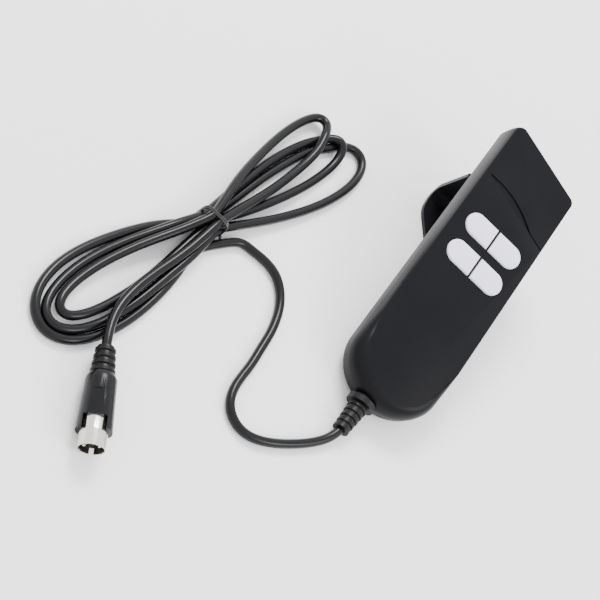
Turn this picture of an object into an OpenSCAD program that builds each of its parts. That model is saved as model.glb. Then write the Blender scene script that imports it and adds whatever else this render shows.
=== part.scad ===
// Wired hand control: two-part case, four sprung buttons, rear hook, cable boot,
// cable tied in a hank and a round five-pin plug. Millimetres, standing on z = 0.

/* [Case] */
// Length along the middle, from the cable end to the slanted top
body_l = 168; // [150:1:210]
// Width near the slanted top
w_top = 51.5; // [47:0.5:64]
// Width at the rounded cable end
w_low = 54.5; // [47:0.5:66]
// Slant of the top end, in degrees
top_slant = 14.2; // [5:0.1:22]
// Length of the rounded cable end
end_r = 23.7; // [20:0.1:30]
// Radius of the outer corner at the high side of the top
corner_high = 5.5; // [4:0.5:12]
// Radius of the outer corner at the low side of the top
corner_low = 4.5; // [3:0.5:8]
// Depth of the front cover above the parting line
front_h = 8.5; // [8:0.1:12]
// Depth of the straight rim below the parting line
rim_h = 6; // [4:0.1:9]
// Depth of the back cover below the parting line
back_h = 10; // [9.5:0.1:16]
// How far the front edge rounds in along the sides and the top
shoulder_w = 1.4; // [0.8:0.1:1.8]
// How far the face slopes in round the cable end
end_slope = 6.2; // [3:0.1:7]
// Draft of the rim, over its whole depth
rim_draft = 0.2; // [0.1:0.05:0.4]
// How far the back edge rounds in
back_round = 5; // [2:0.1:7]
// Wall thickness of both covers
wall = 2; // [1.6:0.1:2.4]

/* [Crescent] */
// Where the crescent's straight edge crosses the middle of the face
crescent_y = 132.6; // [129:0.1:150]
// Length of the crescent along its straight edge
crescent_l = 38; // [30:1:40]
// Widest part of the crescent
crescent_w = 3.6; // [2:0.1:5]
// Depth of the crescent recess
crescent_depth = 0.9; // [0.3:0.1:1.2]
// Width of the groove that carries the straight edge on
groove_w = 0.7; // [0.3:0.1:1.2]

/* [Buttons] */
// Distance of the upper row from the cable end
row_y = 110.5; // [104:0.5:116]
// Distance between the rows
row_pitch = 18.4; // [16:0.1:22]
// Length of a pair of buttons, tip to tip
pair_l = 37.2; // [30:0.1:38]
// Width of a button
button_w = 12.8; // [9:0.1:13.5]
// Gap between the two buttons of a pair
button_gap = 1.4; // [1.2:0.1:3]
// Height of the buttons above the face
button_proud = 1.2; // [0.9:0.1:2.5]
// Clearance between a button and its window
button_fit = 0.25; // [0.15:0.05:0.4]
// Travel of a button
button_travel = 0.9; // [0.3:0.1:1]
// Thickness of the flange that holds a button in
flange_t = 1; // [0.6:0.1:1.4]
// How far the flange reaches past the window
flange_lip = 0.6; // [0.4:0.1:0.8]
// Radius of a switch plunger
plunger_r = 1.7; // [1.2:0.1:2]
// Radial clearance of a plunger in its switch
plunger_fit = 0.05; // [0.02:0.01:0.1]

/* [Board] */
// Thickness of the circuit board
board_t = 1.6; // [1:0.1:2]
// Width of the circuit board
board_w = 38; // [34:0.5:40]
// End of the board nearer the cable
board_y0 = 58; // [50:1:66]
// Other end of the board
board_y1 = 127; // [120:1:128]
// Side of a switch housing
switch_w = 6; // [5:0.1:6.5]
// Height of a switch housing
switch_h = 3.4; // [3:0.1:3.6]

/* [Hook] */
// Width of the hook
hook_w = 51; // [36:1:52]
// Thickness of the hook
hook_t = 2.8; // [2:0.1:4]
// Outer radius of the hook's bend
hook_r = 8.5; // [6:0.5:10]
// Where the hook leaves the back, from the cable end
hook_y = 140.5; // [134:0.5:144]
// Where the hook's tip ends, from the cable end
hook_tip_y = 96; // [90:1:104]
// Length of the foot that is screwed to the back
foot_l = 18; // [14:1:20]
// Width of the foot
foot_w = 20; // [17:1:21]
// Angle between the case and the surface that it rests on
rest_pitch = 16; // [13:0.5:19]

/* [Cable] */
// Diameter of the cable
cable_d = 4.8; // [4:0.1:5.5]
// Sideways place of the cable outlet
boot_x = -4.5; // [-6:0.5:6]
// Height of the cable outlet against the parting line
boot_z = -0.5; // [-1:0.1:0.5]
// Radius of the boot's outer flange
flange_r = 7.6; // [7:0.1:8.5]
// Thickness of the boot's outer flange
boot_flange_t = 3; // [2:0.1:4]
// Radius of the boot's neck in the case wall
neck_r = 4.8; // [4:0.1:5.2]
// Radius of the boot's tip
boot_tip_r = 4.1; // [3.4:0.1:4.6]
// Clearance between the boot's neck and the case
neck_fit = 0.1; // [0.05:0.05:0.3]
// Height of the tied hank
hank_h = 10; // [9:0.5:14]
// Width of the hank under its tie
waist_w = 15; // [12:0.5:18]

/* [Plug] */
// Outer diameter of the plug's metal shell
shell_d = 13.2; // [12:0.1:14]
// Wall of the metal shell
shell_t = 0.6; // [0.4:0.1:0.9]
// How far the shell stands out of the overmould
shell_out = 8.4; // [7:0.1:12]
// Diameter of the plug's overmould
grip_d = 17; // [16.6:0.1:18.5]
// Length of the overmould
grip_l = 28.5; // [22:0.5:36]
// Length of the plug's ribbed boot
tail_boot_l = 14; // [10:0.5:20]
// Diameter of a contact pin
pin_d = 1.45; // [1.2:0.05:1.6]
// Diameter of the circle that the pins stand on
pin_circle = 7; // [6:0.1:8]

/* [Hidden] */

plastic = "#1b1b1e";
rubber = "#161617";
pale = "#dedcec";
metal = "#c3c5c8";

// Gap between the case wall and the boot's outer flange
wall_gap = 0.2;
// Distance from the cable end of the case to the frame's origin
origin_y = 74.1;
// The case leans on the boot's flange and the hook's flat
rest_z = (flange_r - boot_z) * cos(rest_pitch) + (boot_flange_t + wall_gap) * sin(rest_pitch);
// A point of the case, in the resting frame
function resting(p) = [p[0],
                       p[1] * cos(rest_pitch) - p[2] * sin(rest_pitch) - origin_y,
                       p[1] * sin(rest_pitch) + p[2] * cos(rest_pitch) + rest_z];
// Height, in the case's own frame, of the surface under it
function under(y) = -(rest_z + y * sin(rest_pitch)) / cos(rest_pitch);
module at_rest() {
    translate([0, -origin_y, rest_z]) rotate([rest_pitch, 0, 0]) children();
}

// ---- Swept tubes ----
function unit(v) = v / norm(v);
// Catmull-Rom point between b and c
function smooth_at(a, b, c, d, t) =
    0.5 * (2 * b + (c - a) * t + (2 * a - 5 * b + 4 * c - d) * t * t
           + (3 * b - a - 3 * c + d) * t * t * t);
function smooth(pts, per) = let (n = len(pts) - 1) concat(
    [for (i = [0:n - 1], k = [0:per - 1])
        smooth_at(i > 0 ? pts[i - 1] : 2 * pts[0] - pts[1], pts[i], pts[i + 1],
                  i < n - 1 ? pts[i + 2] : 2 * pts[n] - pts[n - 1], k / per)],
    [pts[n]]);
function heading(line, i) = unit(line[min(i + 1, len(line) - 1)] - line[max(i - 1, 0)]);
function ring(c, t, r, sides) =
    let (s = unit(cross(t, [0, 0, 1])), u = cross(s, t))
    [for (k = [0:sides - 1]) c + r * (cos(360 * k / sides) * s + sin(360 * k / sides) * u)];
// Tube along a line; radii runs from r0 to r1
module tube(line, r0, r1, sides = 12) {
    n = len(line);
    pts = [for (i = [0:n - 1], p = ring(line[i], heading(line, i),
                                        r0 + (r1 - r0) * i / (n - 1), sides)) p];
    faces = concat(
        [[for (k = [0:sides - 1]) k]],
        [for (i = [0:n - 2], k = [0:sides - 1])
            [i * sides + k, (i + 1) * sides + k, (i + 1) * sides + (k + 1) % sides]],
        [for (i = [0:n - 2], k = [0:sides - 1])
            [i * sides + k, (i + 1) * sides + (k + 1) % sides, i * sides + (k + 1) % sides]],
        [[for (k = [sides - 1:-1:0]) (n - 1) * sides + k]]);
    polyhedron(points = pts, faces = faces, convexity = 8);
}

// ---- Case outline ----
// Centre of a top corner's arc, tangent to the side and to the slanted end
function corner_at(x, r) = [x, body_l - x * tan(top_slant) - r / cos(top_slant)];
function half_width(y) = w_low / 2 + (w_top - w_low) / 2 * (y - end_r) / (body_l - end_r);
// Height along the case where the slope round the cable end has run out
flank_y = 42;
flank_r = 4;
module outline_marks(inset, end_inset = 0) {
    high = corner_at(-(w_top / 2 - corner_high), corner_high);
    low = corner_at(w_top / 2 - corner_low, corner_low);
    round_end = inset + end_inset;
    translate([0, end_r]) scale([w_low / 2 - round_end, end_r - round_end]) circle(r = 1, $fn = 56);
    for (side = [-1, 1]) translate([side * (half_width(flank_y) - flank_r), flank_y])
        circle(r = flank_r - inset, $fn = 24);
    translate(high) circle(r = max(corner_high - inset, 0.6), $fn = 36);
    translate(low - max(inset - corner_low + 0.6, 0) * [1, 1])
        circle(r = max(corner_low - inset, 0.6), $fn = 28);
}
slice_t = 0.02;
module slice(inset, z, end_inset = 0) {
    translate([0, 0, z]) linear_extrude(slice_t) outline_marks(inset, end_inset);
}
turns = [0:18:90];
module front_form(skin, from) {
    hull() {
        slice(skin, from);
        for (a = turns) slice(skin + shoulder_w * (1 - cos(a)),
                              (front_h - skin - slice_t) * sin(a),
                              (end_slope - shoulder_w) * (1 - cos(a)));
    }
}
module back_form(skin, from) {
    hull() {
        slice(skin, from);
        for (a = turns) slice(skin + rim_draft + back_round * (1 - cos(a)),
                              -rim_h - (back_h - skin - rim_h) * sin(a));
    }
}

// ---- Fastener places ----
boss_r = 3.2;
screw_r = 1.35;
pilot_r = 1.1;
head_r = 2.6;
head_t = 1.6;
housing_at = [[-15, 34], [15, 34], [-14.5, body_l - 17.5], [14.5, body_l - 19.5]];
board_inset = 4;
board_at = [for (x = [-1, 1], y = [board_y0 + board_inset, board_y1 - board_inset - 0.5])
            [x * (board_w / 2 - board_inset), y]];
board_boss_r = 2.4;
foot_screw_x = 5.5;
foot_at = [for (x = [-1, 1]) [x * foot_screw_x, hook_y + foot_l / 2]];
clamp_y = 15;
clamp_half = 8;
clamp_at = [for (x = [-1, 1]) [boot_x + x * clamp_half, clamp_y]];
counterbore = 4;
in_front = front_h - wall;
floor_z = -(back_h - wall);

// ---- Buttons ----
button_x0 = button_gap / 2;
button_x1 = pair_l / 2;
flange_top = in_front - 0.2;
flange_bottom = flange_top - flange_t;
switch_x = 9.8;
rows = [row_y, row_y - row_pitch];
// Half of a stadium from x0 to x1, on the positive side
function half_stadium(x0, x1, w, steps = 16) =
    concat([[x0, -w / 2]],
           [for (k = [0:steps]) let (a = -90 + 180 * k / steps)
               [x1 - w / 2 + w / 2 * cos(a), w / 2 * sin(a)]],
           [[x0, w / 2]]);
module button_plan(grow, inner_grow) {
    polygon(half_stadium(button_x0 - inner_grow, button_x1 + grow, button_w + 2 * grow));
}
// Puts a child drawn for the right-hand button at side (-1, 1) and row
module at_button(side, row) {
    translate([0, rows[row], 0]) mirror([side < 0 ? 1 : 0, 0, 0]) children();
}
module button(side, row) {
    at_rest() at_button(side, row) {
        translate([0, 0, flange_bottom]) linear_extrude(front_h + button_proud - flange_bottom)
            button_plan(0, 0);
        translate([0, 0, flange_bottom]) linear_extrude(flange_t)
            button_plan(button_fit + flange_lip, 0.3);
    }
}
module plunger(side, row) {
    at_rest() at_button(side, row)
        translate([switch_x, 0, switch_h - 1]) cylinder(r = plunger_r,
                                                        h = flange_bottom - switch_h + 1, $fn = 32);
}
module switch_body(side, row) {
    at_rest() at_button(side, row) translate([switch_x, 0, 0]) difference() {
        translate([-switch_w / 2, -switch_w / 2, 0]) cube([switch_w, switch_w, switch_h]);
        translate([0, 0, switch_h - 1 - button_travel - 0.2])
            cylinder(r = plunger_r + plunger_fit, h = 4, $fn = 32);
    }
}

module button_back_raise() { color(pale) button(-1, 0); }
module button_back_lower() { color(pale) button(1, 0); }
module button_foot_raise() { color(pale) button(-1, 1); }
module button_foot_lower() { color(pale) button(1, 1); }
module plunger_back_raise() { color("white") plunger(-1, 0); }
module plunger_back_lower() { color("white") plunger(1, 0); }
module plunger_foot_raise() { color("white") plunger(-1, 1); }
module plunger_foot_lower() { color("white") plunger(1, 1); }
module switch_back_raise() { color("dimgray") switch_body(-1, 0); }
module switch_back_lower() { color("dimgray") switch_body(1, 0); }
module switch_foot_raise() { color("dimgray") switch_body(-1, 1); }
module switch_foot_lower() { color("dimgray") switch_body(1, 1); }

// ---- Covers ----
// How deep the neck reaches into the case before the inner flange
boot_in = 5;
// Outlet for the boot's neck, half in each cover
module outlet() {
    translate([boot_x, -20, boot_z]) rotate([-90, 0, 0])
        cylinder(r = neck_r + neck_fit, h = 20 + boot_in - 0.2, $fn = 48);
}

module crescent_cut() {
    rise = crescent_w;
    radius = (pow(crescent_l / 2, 2) + rise * rise) / (2 * rise);
    translate([-4, crescent_y + 4 * tan(top_slant), front_h - crescent_depth])
        rotate([0, 0, -top_slant]) linear_extrude(3) intersection() {
            translate([0, rise - radius]) circle(r = radius, $fn = 160);
            translate([-40, 0]) square([80, 20]);
        }
    translate([0, crescent_y, front_h - 0.4]) rotate([0, 0, -top_slant])
        translate([-crescent_l / 2 - 3, -groove_w]) linear_extrude(3)
            square([crescent_l + 12, groove_w]);
}

module front_cover() {
    color(plastic) at_rest() difference() {
        union() {
            difference() {
                front_form(0, 0);
                front_form(wall, -0.5);
            }
            for (p = housing_at) translate([p[0], p[1], 0])
                cylinder(r = boss_r, h = in_front + 0.3, $fn = 32);
            for (p = board_at) translate([p[0], p[1], 0])
                cylinder(r = board_boss_r, h = in_front + 0.3, $fn = 32);
        }
        for (row = [0, 1], side = [-1, 1]) at_button(side, row)
            translate([0, 0, front_h - 2 * wall]) linear_extrude(3 * wall)
                button_plan(button_fit, button_fit);
        for (p = housing_at) translate([p[0], p[1], -1]) cylinder(r = pilot_r, h = 6, $fn = 24);
        for (p = board_at) translate([p[0], p[1], -1]) cylinder(r = pilot_r, h = 5.5, $fn = 24);
        crescent_cut();
        outlet();
    }
}

// Height of the clamp's seats against the parting line
clamp_seat = 0.4;
module back_cover() {
    color(plastic) at_rest() difference() {
        union() {
            difference() {
                back_form(0, -slice_t);
                back_form(wall, 0.5);
            }
            for (p = housing_at) translate([p[0], p[1], floor_z - 0.3])
                cylinder(r = boss_r, h = -floor_z + 0.3, $fn = 32);
            for (p = foot_at) translate([p[0], p[1], floor_z - 0.3])
                cylinder(r = boss_r, h = 4.8, $fn = 32);
            for (p = clamp_at) translate([p[0], p[1], floor_z - 0.3])
                cylinder(r = 2.4, h = -floor_z + 0.3 + clamp_seat, $fn = 32);
        }
        for (p = housing_at) {
            translate([p[0], p[1], -back_h - 1]) cylinder(r = screw_r + 0.15, h = 20, $fn = 24);
            translate([p[0], p[1], -back_h - 1]) cylinder(r = head_r + 0.4, h = 1 + counterbore, $fn = 32);
        }
        for (p = foot_at) translate([p[0], p[1], -back_h - 1]) cylinder(r = pilot_r, h = 6, $fn = 24);
        for (p = clamp_at) translate([p[0], p[1], -5]) cylinder(r = pilot_r, h = 12, $fn = 24);
        outlet();
    }
}

// ---- Hook ----
// Side profile of the hook: a wall that leaves the back, a round bend and a
// flat that lies on the surface under the case
module hook_profile() {
    c = [hook_y - hook_r, under(hook_y - hook_r) + hook_r / cos(rest_pitch)];
    down = [-sin(rest_pitch), -cos(rest_pitch)];
    // wall
    polygon([[hook_y - hook_t, -back_h], [hook_y, -back_h], [hook_y, c[1]],
             [hook_y - hook_t, c[1]]]);
    // bend
    intersection() {
        translate(c) difference() {
            circle(r = hook_r, $fn = 72);
            circle(r = hook_r - hook_t, $fn = 72);
        }
        polygon([c, c + [30, 0], c + [30, -30], c + 40 * down]);
    }
    // flat
    foot = c + hook_r * down;
    inner = c + (hook_r - hook_t) * down;
    run = [hook_tip_y - foot[0], -(hook_tip_y - foot[0]) * tan(rest_pitch)];
    polygon([foot, inner, inner + run, foot + run]);
}
// Plan of the hook: straight sides, two round corners, a taper and a rounded tip
plan_r = 12;
corner_rise = 18.7;
function arc(c, r, from, to, steps) =
    [for (k = [0:steps]) let (a = from + (to - from) * k / steps) c + r * [cos(a), sin(a)]];
function hook_plan() =
    let (tip = [0, hook_tip_y + plan_r], edge = hook_w / 2,
         right = tip + [edge - plan_r, corner_rise], left = tip + [plan_r - edge, corner_rise],
         a = atan((edge - plan_r) / corner_rise))
    concat([[edge, hook_y + 1]], arc(right, plan_r, 0, -a, 8), arc(tip, plan_r, -a, a - 180, 16),
           arc(left, plan_r, a - 180, -180, 8), [[-edge, hook_y + 1]]);

module hook() {
    color(plastic) at_rest() difference() {
        union() {
            intersection() {
                translate([-hook_w / 2, 0, 0]) rotate([90, 0, 90]) linear_extrude(hook_w) hook_profile();
                translate([0, 0, -80]) linear_extrude(80) polygon(hook_plan());
            }
            translate([-foot_w / 2, hook_y - hook_t, -back_h - hook_t])
                cube([foot_w, foot_l + hook_t, hook_t]);
        }
        for (p = foot_at) translate([p[0], p[1], -back_h - 10])
            cylinder(r = screw_r + 0.15, h = 20, $fn = 24);
    }
}

// ---- Board and wires ----
module circuit_board() {
    color("darkgreen") at_rest() difference() {
        translate([-board_w / 2, board_y0, -board_t]) cube([board_w, board_y1 - board_y0, board_t]);
        for (p = board_at) translate([p[0], p[1], -5]) cylinder(r = screw_r + 0.1, h = 10, $fn = 24);
    }
}
header = [14, 6, 5];
module wire_header() {
    color("ivory") at_rest() translate([-header[0] / 2, board_y0 + 3, 0]) cube(header);
}
housing_size = [12.6, 5, 3.8];
module wire_housing() {
    color("ivory") at_rest()
        translate([-housing_size[0] / 2, board_y0 + 3 - housing_size[1], 0.6]) cube(housing_size);
}
wire_d = 1.1;
wire_pitch = 2.3;
wire_ring = 1.6;
// Places of the five wires in the cable's end, left to right
wire_angles = [198, 126, 270, 54, 342];
inner_end = 20;
module core_wires() {
    color("firebrick") for (i = [0:4])
        tube([for (p = smooth([[boot_x + wire_ring * cos(wire_angles[i]), inner_end,
                                boot_z + wire_ring * sin(wire_angles[i])],
                               [boot_x + (i - 2) * 2, inner_end + 12, boot_z + 0.6],
                               [(i - 2) * wire_pitch, board_y0 - 12, 2.4],
                               [(i - 2) * wire_pitch, board_y0 + 3 - housing_size[1], 2.4]], 3))
                  resting(p)], wire_d / 2, wire_d / 2, 8);
}

// ---- Screws ----
module screw(length) {
    cylinder(r = head_r, h = head_t, $fn = 32);
    translate([0, 0, head_t]) cylinder(r = screw_r, h = length, $fn = 24);
}
module housing_screws() {
    color(metal) at_rest() for (p = housing_at)
        translate([p[0], p[1], -back_h + counterbore - head_t]) screw(10);
}
module board_screws() {
    color(metal) at_rest() for (p = board_at)
        translate([p[0], p[1], -board_t - head_t]) screw(board_t + 4);
}
module hook_screws() {
    color(metal) at_rest() for (p = foot_at)
        translate([p[0], p[1], -back_h - hook_t - head_t]) screw(hook_t + 4.5);
}
clamp_t = 2.6;
module clamp_screws() {
    color(metal) at_rest() for (p = clamp_at)
        translate([p[0], p[1], clamp_seat + clamp_t + head_t]) mirror([0, 0, 1]) screw(clamp_t + 4);
}
module cable_clamp() {
    color("dimgray") at_rest() difference() {
        translate([boot_x - clamp_half - 2.6, clamp_y - 3, clamp_seat])
            cube([2 * clamp_half + 5.2, 6, clamp_t]);
        translate([boot_x, clamp_y - 5, boot_z]) rotate([-90, 0, 0])
            cylinder(r = cable_d / 2, h = 10, $fn = 48);
        for (p = clamp_at) translate([p[0], p[1], -1]) cylinder(r = screw_r + 0.1, h = 8, $fn = 24);
    }
}

// ---- Cable and boot ----
module cable_inner() {
    color(rubber) at_rest() translate([boot_x, -wall_gap, boot_z]) rotate([-90, 0, 0])
        cylinder(r = cable_d / 2, h = inner_end + wall_gap, $fn = 48);
}
lead_start = resting([boot_x, -wall_gap, boot_z]);
boot_tip = [-6, -94, 4.6];
// Route of the free stretch, from the case to the tie of the hank
lead_route = [lead_start, (lead_start + boot_tip) / 2, boot_tip, [-9, -102, 3.4], [-15, -110, 2.6],
              [-24, -119, 2.4], [-34, -127, 2.4], [-44, -132, 2.4], [-53, -132, 2.4],
              [-60, -127, 2.4], [-63, -119, 2.4], [-63, -110, 2.4], [-62, -100, 2.4],
              [-62, -88, 2.4], [-62, -76, 2.4], [-64, -64, 2.4], [-68, -55, 2.4],
              [-75, -48, 2.4], [-84, -46, 2.4], [-93, -47, 2.4], [-102, -50, 2.4],
              [-109, -54, 2.4]];
module cable_lead() {
    color(rubber) tube(smooth(lead_route, 2), cable_d / 2, cable_d / 2);
}
// Ribs along the boot's sleeve: their number, thickness, start and loss of radius
rib_count = 5;
rib_t = 1.7;
rib_shrink = 0.2;
first_rib = boot_flange_t + 1.4;
// Draws along the boot's sleeve, from the case wall to its tip
module along_sleeve() {
    run = boot_tip - lead_start;
    translate(lead_start) rotate([0, acos(run[2] / norm(run)), atan2(run[1], run[0])])
        children();
}
sleeve_l = norm(boot_tip - lead_start);
rib_pitch = (sleeve_l - first_rib - rib_t) / (rib_count - 1);
module cable_boot() {
    color(rubber) difference() {
        union() {
            at_rest() translate([boot_x, 0, boot_z]) rotate([-90, 0, 0]) {
                translate([0, 0, boot_in]) cylinder(r = 5.9, h = 2, $fn = 48);
                translate([0, 0, -wall_gap]) cylinder(r = neck_r, h = boot_in + wall_gap, $fn = 48);
                translate([0, 0, -wall_gap - boot_flange_t])
                    cylinder(r = flange_r, h = boot_flange_t, $fn = 56);
            }
            along_sleeve() {
                translate([0, 0, 0.5])
                    cylinder(r1 = neck_r, r2 = boot_tip_r - 0.3, h = sleeve_l - 0.5, $fn = 48);
                for (k = [0:rib_count - 1]) translate([0, 0, first_rib + k * rib_pitch])
                    cylinder(r = neck_r + 0.5 - k * rib_shrink, h = rib_t, $fn = 48);
            }
        }
        at_rest() translate([boot_x, 0, boot_z]) rotate([-90, 0, 0])
            cylinder(r = cable_d / 2 + 0.03, h = 20, $fn = 48);
        along_sleeve() translate([0, 0, -0.4]) cylinder(r = cable_d / 2 + 0.1, h = 40, $fn = 48);
    }
}

// Centre of the tie and of the hank's two round ends, with their radii
tie_at = [-119, -55];
far_end = [-89, 29];
far_r = 27;
near_end = [-150, -140];
near_r = 22.5;
module lobe(centre, r) {
    linear_extrude(hank_h) hull() {
        translate(tie_at) circle(r = waist_w / 2, $fn = 32);
        translate(centre) circle(r = r, $fn = 48);
    }
}
module cable_hank() {
    color(rubber) union() {
        lobe(far_end, far_r);
        lobe(near_end, near_r);
    }
}
tie_w = 3;
tie_t = 0.7;
tie_turn = 2;
module cable_tie() {
    color("#202022") translate([tie_at[0], tie_at[1], 0]) rotate([0, 0, tie_turn]) difference() {
        translate([-waist_w / 2 - tie_t, -tie_w / 2, 0])
            cube([waist_w + 2 * tie_t, tie_w, hank_h + tie_t]);
        translate([-waist_w / 2, -tie_w, tie_t]) cube([waist_w, 2 * tie_w, hank_h - tie_t]);
    }
}

// ---- Plug ----
plug_z = grip_d / 2 + 0.1;
// The overmould narrows by this much towards its boot
grip_taper = 1.2;
// Recess for the finger: its start, width and depth
thumb_start = 15;
thumb_w = 10.5;
thumb_depth = 1.3;
// Opening over the shell at the mouth
mouth_w = 11;
mouth_l = 6;
// How far the shell reaches into the overmould
shell_in = 9;
// The shell is thinner inside the overmould, and a short neck of it shows
shell_step = 0.2;
shell_neck = 0.3;
plug_at = [-127.6, -152.5, plug_z];
plug_turn = -66.2;
// The plug lies rolled about its own axis
plug_roll = 30;
// Route of the tail, from the hank to the plug
tail_route = [[-133, -134, 7.2], [-131.4, -141, 7.6], [-129.6, -148, 8.2], plug_at];
module at_plug() {
    translate(plug_at) rotate([0, 90, plug_turn]) rotate([0, 0, plug_roll]) children();
}
module cable_tail() {
    color(rubber) tube(smooth(tail_route, 2), cable_d / 2, cable_d / 2);
}
module plug_boot() {
    color(rubber) at_plug() {
        cylinder(r1 = 3.9, r2 = 5.2, h = tail_boot_l, $fn = 40);
        for (k = [0:3]) translate([0, 0, 1.4 + k * (tail_boot_l - 3.4) / 3])
            cylinder(r = 4.9 + 0.35 * k, h = 1.6, $fn = 40);
    }
}
module plug_overmould() {
    color(plastic) at_plug() difference() {
        union() {
            translate([0, 0, tail_boot_l])
                cylinder(r1 = 6, r2 = grip_d / 2 - grip_taper, h = 2.5, $fn = 48);
            translate([0, 0, tail_boot_l + 2.5])
                cylinder(r1 = grip_d / 2 - grip_taper, r2 = grip_d / 2, h = grip_l - 2.5, $fn = 64);
        }
        translate([0, 0, tail_boot_l + grip_l - shell_in])
            cylinder(r = shell_d / 2 - shell_step, h = shell_in + 1, $fn = 64);
        // round-ended recess for the finger on the upper side, open over the shell
        translate([-grip_d / 2 - 2, 0, tail_boot_l + thumb_start]) {
            rotate([0, 90, 0]) cylinder(r = thumb_w / 2, h = 2 + thumb_depth, $fn = 48);
            translate([0, -thumb_w / 2, 0]) cube([2 + thumb_depth, thumb_w, grip_l]);
        }
        translate([-grip_d, -mouth_w / 2, tail_boot_l + grip_l - mouth_l])
            cube([grip_d, mouth_w, mouth_l + 1]);
    }
}
module plug_shell() {
    color(metal) at_plug() translate([0, 0, tail_boot_l + grip_l - shell_in]) difference() {
        union() {
            cylinder(r = shell_d / 2 - shell_step, h = shell_in + shell_neck, $fn = 64);
            translate([0, 0, shell_in + shell_neck])
                cylinder(r = shell_d / 2, h = shell_out - shell_neck, $fn = 64);
        }
        translate([0, 0, -1]) cylinder(r = shell_d / 2 - shell_t, h = shell_in + shell_out + 2, $fn = 64);
        // keyway notch at the mouth
        translate([shell_d / 2 - 2, -1.2, shell_in + shell_out - 3]) cube([3, 2, 4]);
    }
}
pin_angles = [for (k = [0:4]) 90 + 45 * k];
insert_h = 8.5;
module plug_insert() {
    color("#2a2a2c") at_plug() translate([0, 0, tail_boot_l + grip_l - shell_in]) difference() {
        cylinder(r = shell_d / 2 - shell_t, h = insert_h, $fn = 64);
        for (a = pin_angles) rotate([0, 0, a]) translate([pin_circle / 2, 0, -1])
            cylinder(r = pin_d / 2, h = insert_h + 2, $fn = 20);
    }
}
module plug_pins() {
    color("#d8c48a") at_plug() translate([0, 0, tail_boot_l + grip_l - shell_in])
        for (a = pin_angles) rotate([0, 0, a]) translate([pin_circle / 2, 0, 0])
            cylinder(r = pin_d / 2, h = shell_in + shell_out - 1.4, $fn = 20);
}

front_cover();
back_cover();
hook();
button_back_raise();
button_back_lower();
button_foot_raise();
button_foot_lower();
plunger_back_raise();
plunger_back_lower();
plunger_foot_raise();
plunger_foot_lower();
switch_back_raise();
switch_back_lower();
switch_foot_raise();
switch_foot_lower();
circuit_board();
wire_header();
wire_housing();
core_wires();
cable_inner();
cable_clamp();
clamp_screws();
board_screws();
housing_screws();
hook_screws();
cable_boot();
cable_lead();
cable_hank();
cable_tail();
cable_tie();
plug_boot();
plug_overmould();
plug_shell();
plug_insert();
plug_pins();
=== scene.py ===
import math

import bmesh
import bpy
import numpy as np
from mathutils import Matrix, Vector


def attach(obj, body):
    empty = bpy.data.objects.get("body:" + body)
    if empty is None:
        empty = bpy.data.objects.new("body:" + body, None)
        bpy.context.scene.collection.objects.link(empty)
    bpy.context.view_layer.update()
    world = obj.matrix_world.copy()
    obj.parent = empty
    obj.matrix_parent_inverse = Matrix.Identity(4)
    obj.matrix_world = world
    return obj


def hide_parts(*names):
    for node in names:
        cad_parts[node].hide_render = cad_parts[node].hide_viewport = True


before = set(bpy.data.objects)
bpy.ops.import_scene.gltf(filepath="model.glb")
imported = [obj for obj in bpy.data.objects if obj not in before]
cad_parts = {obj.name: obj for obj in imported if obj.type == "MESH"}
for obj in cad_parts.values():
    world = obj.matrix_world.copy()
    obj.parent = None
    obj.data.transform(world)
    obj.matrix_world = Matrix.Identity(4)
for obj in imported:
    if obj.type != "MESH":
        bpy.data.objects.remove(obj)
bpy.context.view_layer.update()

# Camera
# It stands at place, in metres. The other three say which way its right side, its top and its back face
camera = {"lens": 120, "sensor": 36, "nearClip": 0.05, "farClip": 20,
          "right": (0.7104, 0.4067, 0.5744), "up": (-0.6587, 0.6717, 0.3391),
          "back": (-0.2479, -0.6193, 0.745), "place": (-0.3045, -0.6656, 0.7441)}
cameraData = bpy.data.cameras.new("camera")
cameraData.lens = camera["lens"]
cameraData.sensor_width = camera["sensor"]
cameraData.clip_start = camera["nearClip"]
cameraData.clip_end = camera["farClip"]
cameraObj = bpy.data.objects.new("camera", cameraData)
bpy.context.scene.collection.objects.link(cameraObj)
columns = [camera[key] for key in ("right", "up", "back", "place")]
cameraObj.matrix_world = Matrix([[column[i] for column in columns] for i in range(3)] + [[0, 0, 0, 1]])
bpy.context.scene.camera = cameraObj
print("camera placed")

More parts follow.
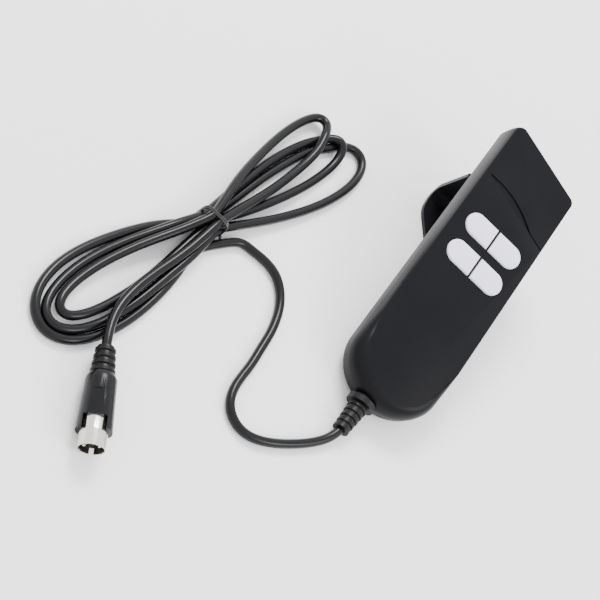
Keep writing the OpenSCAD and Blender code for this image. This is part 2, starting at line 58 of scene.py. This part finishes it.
# Materials
# Each finish has two near tones and the range of its roughness, then what differs from a plain plastic
finishes = {
    "caseBlack": {"tones": ((0.003, 0.003, 0.004), (0.005, 0.005, 0.0065)), "rough": (0.32, 0.42),
                  "gloss": 0.1, "grain": 1500, "relief": 0.4},
    "hookBlack": {"tones": ((0.003, 0.003, 0.004), (0.005, 0.005, 0.006)), "rough": (0.34, 0.46),
                  "gloss": 0.14, "grain": 1300, "relief": 0.4},
    "buttonPale": {"tones": ((0.70, 0.68, 0.81), (0.76, 0.74, 0.86)), "rough": (0.34, 0.44),
                   "grain": 1800, "relief": 0.15, "patch": 60},
    "plungerWhite": {"tones": ((0.75, 0.75, 0.73), (0.82, 0.82, 0.8)), "rough": (0.4, 0.5)},
    "boardGreen": {"tones": ((0.012, 0.09, 0.03), (0.02, 0.13, 0.045)), "rough": (0.25, 0.4), "patch": 200},
    "ivoryPlastic": {"tones": ((0.72, 0.68, 0.55), (0.78, 0.74, 0.62)), "rough": (0.35, 0.5)},
    "greyPlastic": {"tones": ((0.08, 0.08, 0.085), (0.12, 0.12, 0.125)), "rough": (0.4, 0.55),
                    "relief": 0.2},
    "wireRed": {"tones": ((0.4, 0.02, 0.015), (0.5, 0.03, 0.02)), "rough": (0.35, 0.5)},
    "cableJacket": {"tones": ((0.003, 0.003, 0.0035), (0.005, 0.005, 0.006)), "rough": (0.2, 0.32),
                    "gloss": 0.2, "grain": 2200, "relief": 0.15},
    "bootRubber": {"tones": ((0.0035, 0.0035, 0.004), (0.006, 0.006, 0.007)), "rough": (0.32, 0.46),
                   "gloss": 0.18, "grain": 1800, "relief": 0.3},
    "tieBlack": {"tones": ((0.008, 0.008, 0.008), (0.016, 0.016, 0.017)), "rough": (0.25, 0.4),
                 "grain": 1200, "relief": 0.2},
    "plugBlack": {"tones": ((0.003, 0.003, 0.004), (0.005, 0.005, 0.006)), "rough": (0.26, 0.38),
                  "gloss": 0.18, "grain": 1600, "relief": 0.3},
    "shellNickel": {"tones": ((0.58, 0.57, 0.55), (0.72, 0.71, 0.68)), "rough": (0.14, 0.26),
                    "metal": 1.0, "grain": 1500, "relief": 0.1, "patch": 300},
    "insertBlack": {"tones": ((0.012, 0.012, 0.013), (0.02, 0.02, 0.021)), "rough": (0.45, 0.6),
                    "relief": 0.2},
    "pinMetal": {"tones": ((0.78, 0.68, 0.44), (0.86, 0.77, 0.55)), "rough": (0.15, 0.25), "metal": 1.0},
    "screwSteel": {"tones": ((0.45, 0.45, 0.46), (0.6, 0.6, 0.61)), "rough": (0.25, 0.4),
                   "metal": 1.0, "relief": 0.15},
}
mottle = {"patchDetail": 5, "low": 0.3, "high": 0.7, "grainDetail": 3, "grainDepth": 0.0001}


# A broad noise mixes the two tones and moves the roughness with them, and a fine noise is the relief.
# patch and grain are the scales of the two noises on Object coordinates
def mottledFinish(name, tones, rough, metal=0.0, gloss=0.5, grain=900.0, relief=0.0, patch=25.0):
    mat = bpy.data.materials.new(name)
    mat.use_nodes = True
    tree = mat.node_tree
    shader = tree.nodes["Principled BSDF"]
    add, link = tree.nodes.new, tree.links.new
    coords = add("ShaderNodeTexCoord")
    broad = add("ShaderNodeTexNoise")
    broad.inputs["Scale"].default_value = patch
    broad.inputs["Detail"].default_value = mottle["patchDetail"]
    link(coords.outputs["Object"], broad.inputs["Vector"])
    tone = add("ShaderNodeMixRGB")
    tone.inputs["Color1"].default_value = (*tones[0], 1)
    tone.inputs["Color2"].default_value = (*tones[1], 1)
    link(broad.outputs["Fac"], tone.inputs["Fac"])
    link(tone.outputs["Color"], shader.inputs["Base Color"])
    span = add("ShaderNodeMapRange")
    span.inputs["From Min"].default_value = mottle["low"]
    span.inputs["From Max"].default_value = mottle["high"]
    span.inputs["To Min"].default_value = rough[0]
    span.inputs["To Max"].default_value = rough[1]
    link(broad.outputs["Fac"], span.inputs["Value"])
    link(span.outputs["Result"], shader.inputs["Roughness"])
    shader.inputs["Metallic"].default_value = metal
    shader.inputs["Specular IOR Level"].default_value = gloss
    fine = add("ShaderNodeTexNoise")
    fine.inputs["Scale"].default_value = grain
    fine.inputs["Detail"].default_value = mottle["grainDetail"]
    link(coords.outputs["Object"], fine.inputs["Vector"])
    bumps = add("ShaderNodeBump")
    bumps.inputs["Strength"].default_value = relief
    bumps.inputs["Distance"].default_value = mottle["grainDepth"]
    link(fine.outputs["Fac"], bumps.inputs["Height"])
    link(bumps.outputs["Normal"], shader.inputs["Normal"])
    return mat


looks = {name: mottledFinish(name, **finish) for name, finish in finishes.items()}
print("materials made")

# Helpers
mm = 0.001  # sizes below are in millimetres, and meshes are in metres


# Puts a mesh in the scene with its finish and body. Edges steeper than sharpAngle stay sharp
def addPiece(name, mesh, look, body="case", sharpAngle=40):
    obj = bpy.data.objects.new(name, mesh)
    bpy.context.scene.collection.objects.link(obj)
    mesh.materials.clear()
    mesh.materials.append(looks[look])
    mesh.shade_smooth()
    mesh.set_sharp_from_angle(angle=math.radians(sharpAngle))
    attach(obj, body)
    return obj


# Quads join each ring of points to the next, and a fan of triangles to the mean of its points closes the
# first ring and the last
def ringMesh(name, rings):
    count, size = rings.shape[:2]
    points = np.vstack([rings.reshape(-1, 3), rings[0].mean(axis=0), rings[-1].mean(axis=0)])
    here = np.arange(size)
    following = (here + 1) % size
    start = np.arange(count - 1)[:, None] * size
    nextStart = start + size
    quads = np.stack([start + here, start + following, nextStart + following, nextStart + here], axis=-1)
    last = (count - 1) * size
    firstFan = np.stack([following, here, np.full(size, count * size)], axis=-1)
    lastFan = np.stack([last + here, last + following, np.full(size, count * size + 1)], axis=-1)
    faces = quads.reshape(-1, 4).tolist() + firstFan.tolist() + lastFan.tolist()
    mesh = bpy.data.meshes.new(name)
    mesh.from_pydata(points.tolist(), [], faces)
    mesh.update()
    return mesh


# The mesh with all its faces turned outwards
def facedOutward(mesh):
    bm = bmesh.new()
    bm.from_mesh(mesh)
    bmesh.ops.recalc_face_normals(bm, faces=bm.faces)
    bm.to_mesh(mesh)
    bm.free()
    return mesh


# A ring round each point of a path, square to the path: cosine times the side, which is square to the path
# and to upright, plus sine times what is square to both, times the radius
def tubeRings(path, radius, sides, upright=(0, 0, 1)):
    ahead = np.gradient(path, axis=0)
    ahead /= np.linalg.norm(ahead, axis=1)[:, None]
    side = np.cross(ahead, upright)
    side /= np.linalg.norm(side, axis=1)[:, None]
    over = np.cross(side, ahead)
    turn = np.linspace(0, 2 * np.pi, sides, endpoint=False)[None, :, None]
    ring = np.cos(turn) * side[:, None, :] + np.sin(turn) * over[:, None, :]
    return path[:, None, :] + radius * ring


# Catmull-Rom curve through the points, in so many steps from each to the next
def curveThrough(points, steps):
    p = np.asarray(points, float)
    p = np.vstack([2 * p[0] - p[1], p, 2 * p[-1] - p[-2]])
    t = np.arange(steps)[:, None, None] / steps
    a, b, c, d = p[:-3], p[1:-2], p[2:-1], p[3:]
    curve = 0.5 * (2 * b + (c - a) * t + (2 * a - 5 * b + 4 * c - d) * t ** 2
                   + (3 * b - a - 3 * c + d) * t ** 3)
    return np.vstack([curve.transpose(1, 0, 2).reshape(-1, 3), p[-2]])


# The same path as evenly spaced points, about the given spacing apart
def evenlySpaced(path, spacing):
    run = np.concatenate([[0], np.cumsum(np.linalg.norm(np.diff(path, axis=0), axis=1))])
    at = np.linspace(0, run[-1], max(2, int(run[-1] / spacing)))
    return np.stack([np.interp(at, run, path[:, i]) for i in range(3)], axis=1)


# Lengths in millimetres and angles in degrees
softening = {"merge": 0.01, "flatAngle": 0.6, "segments": 3, "edgeAngle": 28, "sharpAngle": 38}


# A copy of a CAD node's mesh with its doubles merged, its flat faces joined and its edges rounded
def softenNode(node, name, look, rounding, body="case"):
    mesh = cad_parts[node].data.copy()
    mesh.name = name
    bm = bmesh.new()
    bm.from_mesh(mesh)
    bmesh.ops.remove_doubles(bm, verts=bm.verts, dist=softening["merge"] * mm)
    bmesh.ops.dissolve_degenerate(bm, edges=bm.edges, dist=softening["merge"] * mm)
    bmesh.ops.dissolve_limit(bm, angle_limit=math.radians(softening["flatAngle"]), verts=bm.verts,
                             edges=bm.edges)
    bm.to_mesh(mesh)
    bm.free()
    obj = addPiece(name, mesh, look, body, softening["sharpAngle"])
    if rounding:
        bevel = obj.modifiers.new("bevel", "BEVEL")
        bevel.width = rounding * mm
        bevel.segments = softening["segments"]
        bevel.limit_method = "ANGLE"
        bevel.angle_limit = math.radians(softening["edgeAngle"])
        bevel.use_clamp_overlap = True
        bevel.harden_normals = True
    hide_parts(node)


# Cord
# The handset leans back on its hook, with the flange of its boot on the table
handset = {"pitch": math.radians(16), "originY": 74.1, "wallGap": 0.2, "bootX": -4.5, "bootZ": -0.5,
           "flangeRadius": 7.6, "flangeDepth": 3}
cosPitch = math.cos(handset["pitch"])
sinPitch = math.sin(handset["pitch"])
restZ = ((handset["flangeRadius"] - handset["bootZ"]) * cosPitch
         + (handset["flangeDepth"] + handset["wallGap"]) * sinPitch)


# Where a point of the handset's own frame is once the handset is leaning
def restingPoint(x, y, z):
    return np.array([x, y * cosPitch - z * sinPitch - handset["originY"],
                     y * sinPitch + z * cosPitch + restZ])


# The route is made at the wide spacing, and the finished cord follows it at the close one
cable = {"diameter": 4.8, "sides": 16, "routeSteps": 6, "wideSpacing": 2.0, "wideSmoothing": 3,
         "pathSteps": 3, "closeSpacing": 1.2, "closeSmoothing": 4, "sharpAngle": 60}
leadStart = restingPoint(handset["bootX"], -handset["wallGap"], handset["bootZ"])
bootTip = np.array([-6.0, -94.0, 4.6])
leadRoute = [leadStart, (leadStart + bootTip) / 2, bootTip, [-9, -102, 3.4], [-15, -110, 2.6],
             [-24, -119, 2.4], [-34, -127, 2.4], [-44, -132, 2.4], [-53, -132, 2.4], [-60, -127, 2.4],
             [-63, -119, 2.4], [-63, -110, 2.4], [-62, -100, 2.4], [-62, -88, 2.4], [-62, -76, 2.4],
             [-64, -64, 2.4], [-68, -55, 2.4], [-75, -48, 2.4], [-84, -46, 2.4], [-93, -47, 2.4],
             [-101, -49, 2.5]]
plug = {"at": np.array([-127.6, -152.5, 8.6]), "turn": math.radians(-66.2), "before": 5, "inside": 6}
plugAxis = np.array([math.cos(plug["turn"]), math.sin(plug["turn"]), 0.0])
tailRoute = [[-118, -62, 11], [-121.5, -80, 9], [-127.5, -100, 7.4], [-131.5, -115, 7.4],
             [-133.2, -128, 7.6], [-132.2, -139, 7.9], plug["at"] - plugAxis * plug["before"], plug["at"],
             plug["at"] + plugAxis * plug["inside"]]

# The hank's strands lie in slots at the tie, each a sideways place and a height, six of them round one.
# A turn goes out to the near end in one slot, comes back in the next, and does the same at the far end.
# A lobe heads for a point of the plan, with its reach, its width, its lean to the left and its height
hank = {"tie": np.array([-119.0, -55.0]), "lobePoints": 34, "narrowing": 0.55, "leadJoins": 4,
        "slots": [(2.4, 3.1), (-2.4, 3.1), (4.8, 7.2), (-4.8, 7.2), (0, 7.2), (-2.4, 11.3), (2.4, 11.3)],
        "near": [{"end": (-158, -160), "reach": 113, "width": 25, "lean": 0, "level": 2.45},
                 {"end": (-158, -160), "reach": 112, "width": 19, "lean": 3, "level": 2.6},
                 {"end": (-155, -155), "reach": 103, "width": 12, "lean": 0, "level": 4.2}],
        "far": [{"end": (-70, 52), "reach": 117, "width": 18, "lean": 0, "level": 2.45},
                {"end": (-80, 43), "reach": 106, "width": 12, "lean": 4, "level": 2.6},
                {"end": (-97, 49), "reach": 107, "width": 12, "lean": 1, "level": 4.2}]}


# One lobe, from the tie round its end and back. The way out is half of one minus cosine, the width is a sine
# times a power of the way out, the slot shifts evenly from one to the other, and the height goes from the
# slot's to the level by the square of the way that is left
def hankLobe(end, reach, width, lean, level, slotOut, slotBack):
    t = np.linspace(0, 1, hank["lobePoints"])[:, None]
    along = np.array(end) - hank["tie"]
    along /= np.linalg.norm(along)
    across = np.array([-along[1], along[0]])
    out = (1 - np.cos(2 * np.pi * t)) / 2
    spread = np.sin(2 * np.pi * t) * out ** hank["narrowing"]
    sideways = slotOut[0] + (slotBack[0] - slotOut[0]) * t
    plan = hank["tie"] + along * reach * out + across * (width * spread + lean * out)
    plan = plan + np.array([1.0, 0.0]) * sideways * (1 - out)
    height = level + (slotOut[1] + (slotBack[1] - slotOut[1]) * t - level) * (1 - out) ** 2
    return np.hstack([plan, height])


route = [np.array(leadRoute, float)]
for k, (near, far) in enumerate(zip(hank["near"], hank["far"])):
    slotOut, slotBack, slotNext = hank["slots"][2 * k:2 * k + 3]
    first = hank["leadJoins"] if k == 0 else 1
    route.append(hankLobe(**near, slotOut=slotOut, slotBack=slotBack)[first:-1])
    route.append(hankLobe(**far, slotOut=slotBack, slotBack=slotNext)[1:-1])
route.append(np.array(tailRoute))

# Lengths in millimetres. Stretches less than so many diameters along the cord aren't compared
settling = {"rounds": 60, "quickRounds": 20, "diameters": 3, "heldStart": 22, "heldEnd": 14, "fade": 10,
            "spare": 0.1, "leastSpace": 0.4, "offFloor": 0.02}


# Stretches of the cord that are nearer than its thickness are moved apart, a little at a time. The moves are
# smoothed along the cord, and its ends stay where they are
def settledCord(line, spacing, rounds):
    count = len(line)
    index = np.arange(count)
    apart = np.abs(index[:, None] - index[None, :]) * spacing > settling["diameters"] * cable["diameter"]
    fromEnds = np.minimum(index * spacing - settling["heldStart"],
                          (count - 1 - index) * spacing - settling["heldEnd"])
    freedom = np.clip(fromEnds / settling["fade"], 0, 1)[:, None]
    clear = cable["diameter"] + settling["spare"]
    lowest = cable["diameter"] / 2 + settling["offFloor"]
    shift = np.zeros_like(line)
    for k in range(rounds):
        now = line + shift
        gap = now[:, None, :] - now[None, :, :]
        space = np.linalg.norm(gap, axis=2)
        near = apart & (space < clear)
        share = np.where(near, (clear - space) / np.maximum(space, settling["leastSpace"]), 0)
        push = (share[..., None] * gap).sum(axis=1)
        shift = shift + push / np.maximum(near.sum(axis=1), 1)[:, None] * freedom
        shift[1:-1] = (shift[:-2] + 2 * shift[1:-1] + shift[2:]) / 4
        shift[:, 2] = np.maximum(shift[:, 2], lowest - line[:, 2])
    print("nearest stretches", round(float(space[apart].min()), 2), "apart, with", int(near.any(axis=1).sum()),
          "points too near")
    return line + shift


# Each point but the first and last becomes half itself and a quarter of each neighbour
def smoothedCord(line, times):
    for k in range(times):
        line[1:-1] = (line[:-2] + 2 * line[1:-1] + line[2:]) / 4
    return line


line = evenlySpaced(curveThrough(np.vstack(route), cable["routeSteps"]), cable["wideSpacing"])
line = smoothedCord(line, cable["wideSmoothing"])
line = settledCord(line, cable["wideSpacing"], settling["rounds"])
path = evenlySpaced(curveThrough(line, cable["pathSteps"]), cable["closeSpacing"])
path = smoothedCord(path, cable["closeSmoothing"]) * mm
cordRings = tubeRings(path, cable["diameter"] / 2 * mm, cable["sides"])
cordObj = addPiece("cable", facedOutward(ringMesh("cable", cordRings)), "cableJacket",
                   sharpAngle=cable["sharpAngle"])
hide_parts("cable_lead", "cable_hank", "cable_tail")

# Tie
# Two thin wires side by side round the waist of the hank, whose ends are twisted together and lie down
tie = {"wire": 0.5, "sides": 8, "halfWidth": 7.7, "low": 0.55, "high": 14.0, "offset": 0.55, "bow": 0.9,
       "corner": 0.45, "loopPoints": 64, "spacing": 0.7, "loopUpright": (0.03, 1.0, 0.02),
       "endX": 7.9, "endZ": 5.4, "endRun": 5, "endAside": 2.5, "endDrop": 4.2, "endPoints": 60,
       "twist": 0.5, "twistTurns": 3, "endUpright": (0, 0.1, 1.0)}
tieX, tieY = hank["tie"]


# A wave with its peaks flattened: its sign times a power of its size
def flattened(wave):
    return np.sign(wave) * np.abs(wave) ** tie["corner"]


wires = []
around = np.linspace(0, 2 * np.pi, tie["loopPoints"])
middle = (tie["high"] + tie["low"]) / 2
for offset in (-tie["offset"], tie["offset"]):
    loopX = tieX + tie["halfWidth"] * flattened(np.cos(around))
    loopY = tieY + offset + tie["bow"] * np.sin(around / 2)
    loopZ = middle + (tie["high"] - tie["low"]) / 2 * flattened(np.sin(around))
    loop = evenlySpaced(np.stack([loopX, loopY, loopZ], axis=1), tie["spacing"])
    wires.append((loop, tie["loopUpright"]))
# The twisted ends are two helices half a turn apart. Their drop is the square root of the way along
u = np.linspace(0, 1, tie["endPoints"])
for phase in (0, np.pi):
    turn = 2 * np.pi * tie["twistTurns"] * u + phase
    endX = tieX + tie["endX"] + tie["endRun"] * u
    endY = tieY - tie["endAside"] * u + tie["twist"] * np.cos(turn)
    endZ = tie["endZ"] - tie["endDrop"] * np.sqrt(u) + tie["twist"] * np.sin(turn)
    wires.append((np.stack([endX, endY, endZ], axis=1), tie["endUpright"]))
bm = bmesh.new()
for wire, upright in wires:
    wireMesh = ringMesh("wire", tubeRings(wire, tie["wire"], tie["sides"], upright) * mm)
    bm.from_mesh(wireMesh)
    bpy.data.meshes.remove(wireMesh)
tieMesh = bpy.data.meshes.new("tie")
bm.to_mesh(tieMesh)
bm.free()
tieObj = addPiece("cable-tie", facedOutward(tieMesh), "tieBlack")
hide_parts("cable_tie")
print("tie done")

# Case and hook
edgeRounding = {"cover": 0.5, "hook": 0.7}
softenNode("front_cover", "frontCover", "caseBlack", edgeRounding["cover"])
softenNode("back_cover", "backCover", "caseBlack", edgeRounding["cover"])
softenNode("hook", "hookPlate", "hookBlack", edgeRounding["hook"])
print("case and hook done")

# Each button's press, with the side of the handset it is on and its row from the top
presses = {"back_raise": {"side": -1, "row": 0}, "back_lower": {"side": 1, "row": 0},
           "foot_raise": {"side": -1, "row": 1}, "foot_lower": {"side": 1, "row": 1}}

# Everything inside, the plug and the boots: a finish, its slot, the rounding of its edges and its nodes
for look, slotName, rounding, nodes in [
        ("boardGreen", "board_green", 0.1, ["circuit_board"]),
        ("ivoryPlastic", "ivory_plastic", 0.2, ["wire_header", "wire_housing"]),
        ("wireRed", "wire_red", 0, ["core_wires"]),
        ("cableJacket", "cable_jacket", 0.2, ["cable_inner"]),
        ("greyPlastic", "grey_plastic", 0.3, ["cable_clamp"]),
        ("screwSteel", "screw_steel", 0.2, ["clamp_screws", "board_screws", "housing_screws", "hook_screws"]),
        ("greyPlastic", "grey_plastic", 0.2, ["switch_" + press for press in presses]),
        ("insertBlack", "insert_black", 0.2, ["plug_insert"]),
        ("pinMetal", "pin_metal", 0.2, ["plug_pins"]),
        ("shellNickel", "shell_nickel", 0.12, ["plug_shell"]),
        ("plugBlack", "plug_black", 0.6, ["plug_overmould"]),
        ("bootRubber", "boot_rubber", 0.3, ["plug_boot", "cable_boot"])]:
    for node in nodes:
        softenNode(node, node.replace("_", "-"), look, rounding)
print("inner and plug pieces done")

# Buttons
button = {"gap": 1.4, "pair": 37.2, "width": 12.8, "rows": (110.5, 92.1), "top": 9.7, "rounding": 0.9,
          "crown": 0.4, "flangeTop": 6.3, "flangeBottom": 5.3, "lip": 0.85, "innerLip": 0.3, "arcPoints": 41,
          "sidePoints": 12, "rimRings": 7, "topRings": 12, "topFrom": 0.92, "topTo": 0.04, "sharpAngle": 50,
          "plungerRounding": 0.2}


# Half a stadium, round from its inner lower corner: a straight side, half a circle, the other straight side
# and the flat inner side. It grows outwards by one amount, and its inner side moves by another
def buttonOutline(grow, innerGrow):
    x0 = button["gap"] / 2 - innerGrow
    half = button["width"] / 2 + grow
    x1 = button["pair"] / 2 + grow - half
    count = button["sidePoints"]
    arc = np.linspace(-np.pi / 2, np.pi / 2, button["arcPoints"])
    run = np.linspace(0, 1, count, endpoint=False)
    return np.vstack([np.stack([x0 + (x1 - x0) * run, np.full(count, -half)], axis=1),
                      np.stack([x1 + half * np.cos(arc), half * np.sin(arc)], axis=1),
                      np.stack([x1 + (x0 - x1) * (run + 1 / count), np.full(count, half)], axis=1),
                      np.stack([np.full(count - 1, x0), half - 2 * half * run[1:]], axis=1)])


# Rings from the flange up: a wall, a quarter round at the rim, then the rim's outline drawn in to the middle
# on a low parabola, so that the top is slightly crowned
def buttonRings(side, row):
    flange = buttonOutline(button["lip"], button["innerLip"])
    rings = [(flange, button["flangeBottom"]), (flange, button["flangeTop"]),
             (buttonOutline(0, 0), button["flangeTop"])]
    for a in np.linspace(0, np.pi / 2, button["rimRings"]):
        inset = button["rounding"] * (1 - math.cos(a))
        rings.append((buttonOutline(-inset, -inset), button["top"] - button["rounding"] * (1 - math.sin(a))))
    rim = rings[-1][0]
    centre = np.array([button["pair"] / 4, 0])
    for part in np.linspace(button["topFrom"], button["topTo"], button["topRings"]):
        rings.append((centre + part * (rim - centre), button["top"] + button["crown"] * (1 - part ** 2)))
    plan = np.stack([outline for outline, height in rings])
    heights = np.array([height for outline, height in rings])[:, None] + 0 * plan[..., 0]
    points = restingPoint(side * plan[..., 0], button["rows"][row] + plan[..., 1], heights)
    return np.moveaxis(points, 0, -1) * mm


for press, at in presses.items():
    softenNode("plunger_" + press, "plunger-" + press, "plungerWhite",
               button["plungerRounding"], "press_" + press)
    buttonMesh = facedOutward(ringMesh("button-" + press, buttonRings(at["side"], at["row"])))
    buttonObj = addPiece("button-" + press, buttonMesh, "buttonPale", "press_" + press,
                         button["sharpAngle"])
    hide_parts("button_" + press)
print("buttons done")

# Floor and light
# Lengths here are in metres
studio = {"floorHalf": 4, "floorTones": ((0.87, 0.87, 0.87), (0.89, 0.89, 0.89)), "floorRough": (0.75, 0.85),
          "floorGloss": 0.2, "floorPatch": 2, "world": 2.1, "aim": (-0.06, -0.05, 0)}
lamps = {"keyLight": {"place": (-0.6, 0.7, 1.1), "size": (0.6, 0.4), "power": 26},
         "sideLight": {"place": (0.9, -0.2, 0.9), "size": (0.5, 0.5), "power": 9}}
half = studio["floorHalf"]
floorMesh = bpy.data.meshes.new("floor")
floorMesh.from_pydata([(-half, -half, 0), (half, -half, 0), (half, half, 0), (-half, half, 0)], [],
                      [(0, 1, 2, 3)])
floor = bpy.data.objects.new("floor", floorMesh)
bpy.context.scene.collection.objects.link(floor)
floorMesh.materials.append(mottledFinish("floorWhite", studio["floorTones"], studio["floorRough"],
                                         gloss=studio["floorGloss"], patch=studio["floorPatch"]))

world = bpy.data.worlds.new("studio")
bpy.context.scene.world = world
world.use_nodes = True
world.node_tree.nodes["Background"].inputs["Color"].default_value = (1, 1, 1, 1)
world.node_tree.nodes["Background"].inputs["Strength"].default_value = studio["world"]


def softBox(name, place, size, power):
    data = bpy.data.lights.new(name, "AREA")
    data.shape = "RECTANGLE"
    data.size, data.size_y = size
    data.energy = power
    lamp = bpy.data.objects.new(name, data)
    bpy.context.scene.collection.objects.link(lamp)
    lamp.location = place
    lamp.rotation_euler = (Vector(studio["aim"]) - Vector(place)).to_track_quat("-Z", "Y").to_euler()


for name, lamp in lamps.items():
    softBox(name, **lamp)
print("floor and light done")
